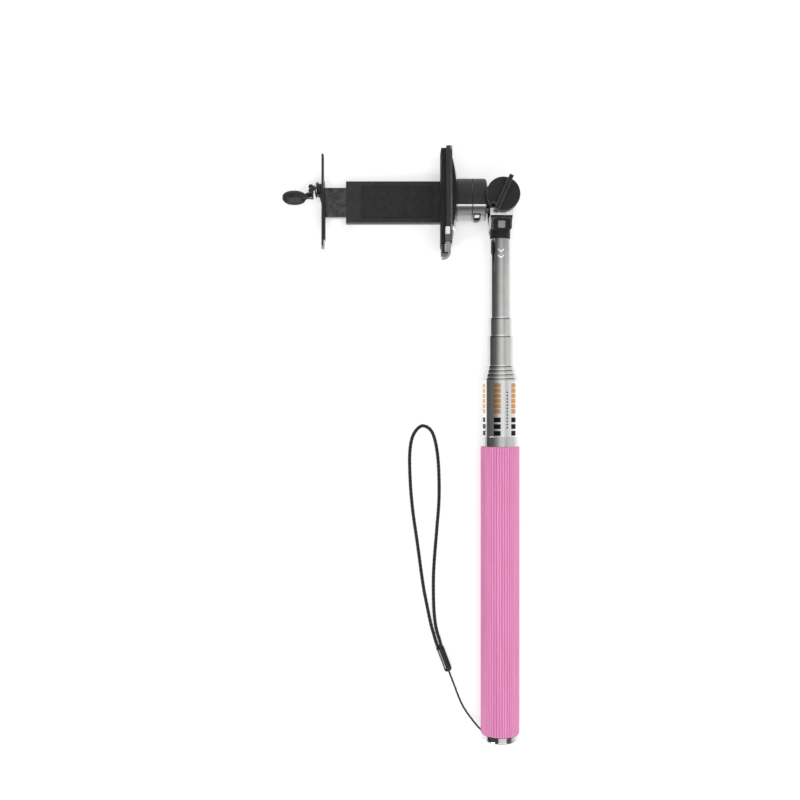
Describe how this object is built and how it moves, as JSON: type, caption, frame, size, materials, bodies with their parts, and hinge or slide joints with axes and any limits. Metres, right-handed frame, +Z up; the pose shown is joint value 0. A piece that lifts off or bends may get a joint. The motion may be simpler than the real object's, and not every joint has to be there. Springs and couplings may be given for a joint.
{
  "type": "selfie stick",
  "caption": "Telescopic steel stick with a ribbed pink grip, tilting head with knob, spring clip that holds a phone, and a wrist strap.",
  "frame": {"origin": "middle of the object's box in X and Y, on the surface it lies on; the strap is not counted", "axes": "+Y along the stick from the butt to the head, +Z up from the surface towards the tilt knob, -X towards the phone clip"},
  "size_m": [0.12, 0.2964, 0.0317],
  "materials": {
    "grip_rubber": "matte pink moulded rubber with fine lengthwise ribs",
    "steel_tube": "polished drawn stainless tube",
    "chrome": "bright chrome plate",
    "satin_metal": "satin metal with fine turned lines",
    "steel": "plain satin steel",
    "satin_plate": "satin nickel plate",
    "brass": "turned brass",
    "black_plastic": "moulded black plastic",
    "shell_black": "black plastic with fine ring lines",
    "jaw_black": "fine textured black plastic",
    "knob_black": "satin black plastic",
    "lever_black": "smooth black plastic",
    "gloss_black": "glossy black plastic",
    "pad_rubber": "soft black rubber",
    "cord": "braided black nylon cord"
  },
  "bodies": {
    "handle": {"grip_sleeve": "grip_rubber", "tube_1": "steel_tube", "base_plug": "black_plastic", "end_cap": "chrome", "strap_pin": "steel", "strap_tail": "cord", "strap_bead": "gloss_black", "strap_loop": "cord"},
    "section_2": {"tube_2": "steel_tube", "bush_2": "brass"},
    "section_3": {"tube_3": "steel_tube", "bush_3": "brass"},
    "section_4": {"tube_4": "steel_tube", "bush_4": "brass"},
    "section_5": {"tube_5": "steel_tube", "bush_5": "brass"},
    "section_6": {"tube_6": "steel_tube", "bush_6": "brass"},
    "section_7": {"tube_7": "steel_tube", "bush_7": "brass", "neck_collar": "black_plastic", "neck_rivet": "steel", "clevis": "satin_plate", "pivot_bolt": "steel", "pivot_nut": "steel", "pivot_washers": "steel"},
    "knob": {"tilt_knob": "knob_black", "knob_insert": "brass"},
    "head": {"tilt_block": "black_plastic", "head_barrel": "satin_metal", "head_shell": "shell_black", "camera_screw": "steel", "slot_liner": "gloss_black", "set_screw": "chrome"},
    "clip": {"clip_barrel": "satin_metal", "clip_shell": "shell_black", "thread_insert": "brass", "fixed_jaw": "jaw_black", "jaw_dome": "gloss_black", "jaw_backbone": "chrome", "jaw_catch": "chrome", "fixed_pad": "pad_rubber", "slide_housing": "jaw_black", "back_cover": "black_plastic", "cover_screws": "steel", "back_pad": "pad_rubber", "spring_post": "steel", "clip_spring": "steel"},
    "slider": {"sliding_jaw": "jaw_black", "sliding_pad": "pad_rubber", "slide_rail": "satin_plate", "rail_post": "steel", "jaw_hook": "chrome", "clamp_boss": "black_plastic", "cam_cup": "chrome", "cam_pin": "steel"},
    "lever": {"clamp_lever": "lever_black"}
  },
  "joints": [
    {"name": "extend_2", "type": "slide", "parent": "handle", "child": "section_2", "axis": [0, 1, 0], "range_m": [0, 0.129]},
    {"name": "extend_3", "type": "slide", "parent": "section_2", "child": "section_3", "axis": [0, 1, 0], "range_m": [0, 0.1289]},
    {"name": "extend_4", "type": "slide", "parent": "section_3", "child": "section_4", "axis": [0, 1, 0], "range_m": [0, 0.129]},
    {"name": "extend_5", "type": "slide", "parent": "section_4", "child": "section_5", "axis": [0, 1, 0], "range_m": [-0.013, 0.1159]},
    {"name": "extend_6", "type": "slide", "parent": "section_5", "child": "section_6", "axis": [0, 1, 0], "range_m": [-0.007, 0.1219]},
    {"name": "extend_7", "type": "slide", "parent": "section_6", "child": "section_7", "axis": [0, 1, 0], "range_m": [-0.036, 0.0918]},
    {"name": "knob_turn", "type": "hinge", "parent": "section_7", "child": "knob", "pos_m": [0.05025, 0.124, 0.0217], "axis": [0, 0, 1], "range_deg": [0, 270]},
    {"name": "head_tilt", "type": "hinge", "parent": "section_7", "child": "head", "pos_m": [0.05025, 0.124, 0.0107], "axis": [0, 0, 1], "range_deg": [-180, 0]},
    {"name": "clip_turn", "type": "hinge", "parent": "head", "child": "clip", "pos_m": [0.03225, 0.124, 0.0107], "axis": [1, 0, 0], "range_deg": [-180, 180]},
    {"name": "jaw_slide", "type": "slide", "parent": "clip", "child": "slider", "axis": [-1, 0, 0], "range_m": [-0.0033, 0.0267], "deforming": ["clip_spring"]},
    {"name": "lever_flip", "type": "hinge", "parent": "slider", "child": "lever", "pos_m": [-0.04505, 0.13045, 0.0082], "axis": [0, 0, -1], "range_deg": [0, 90]}
  ]
}
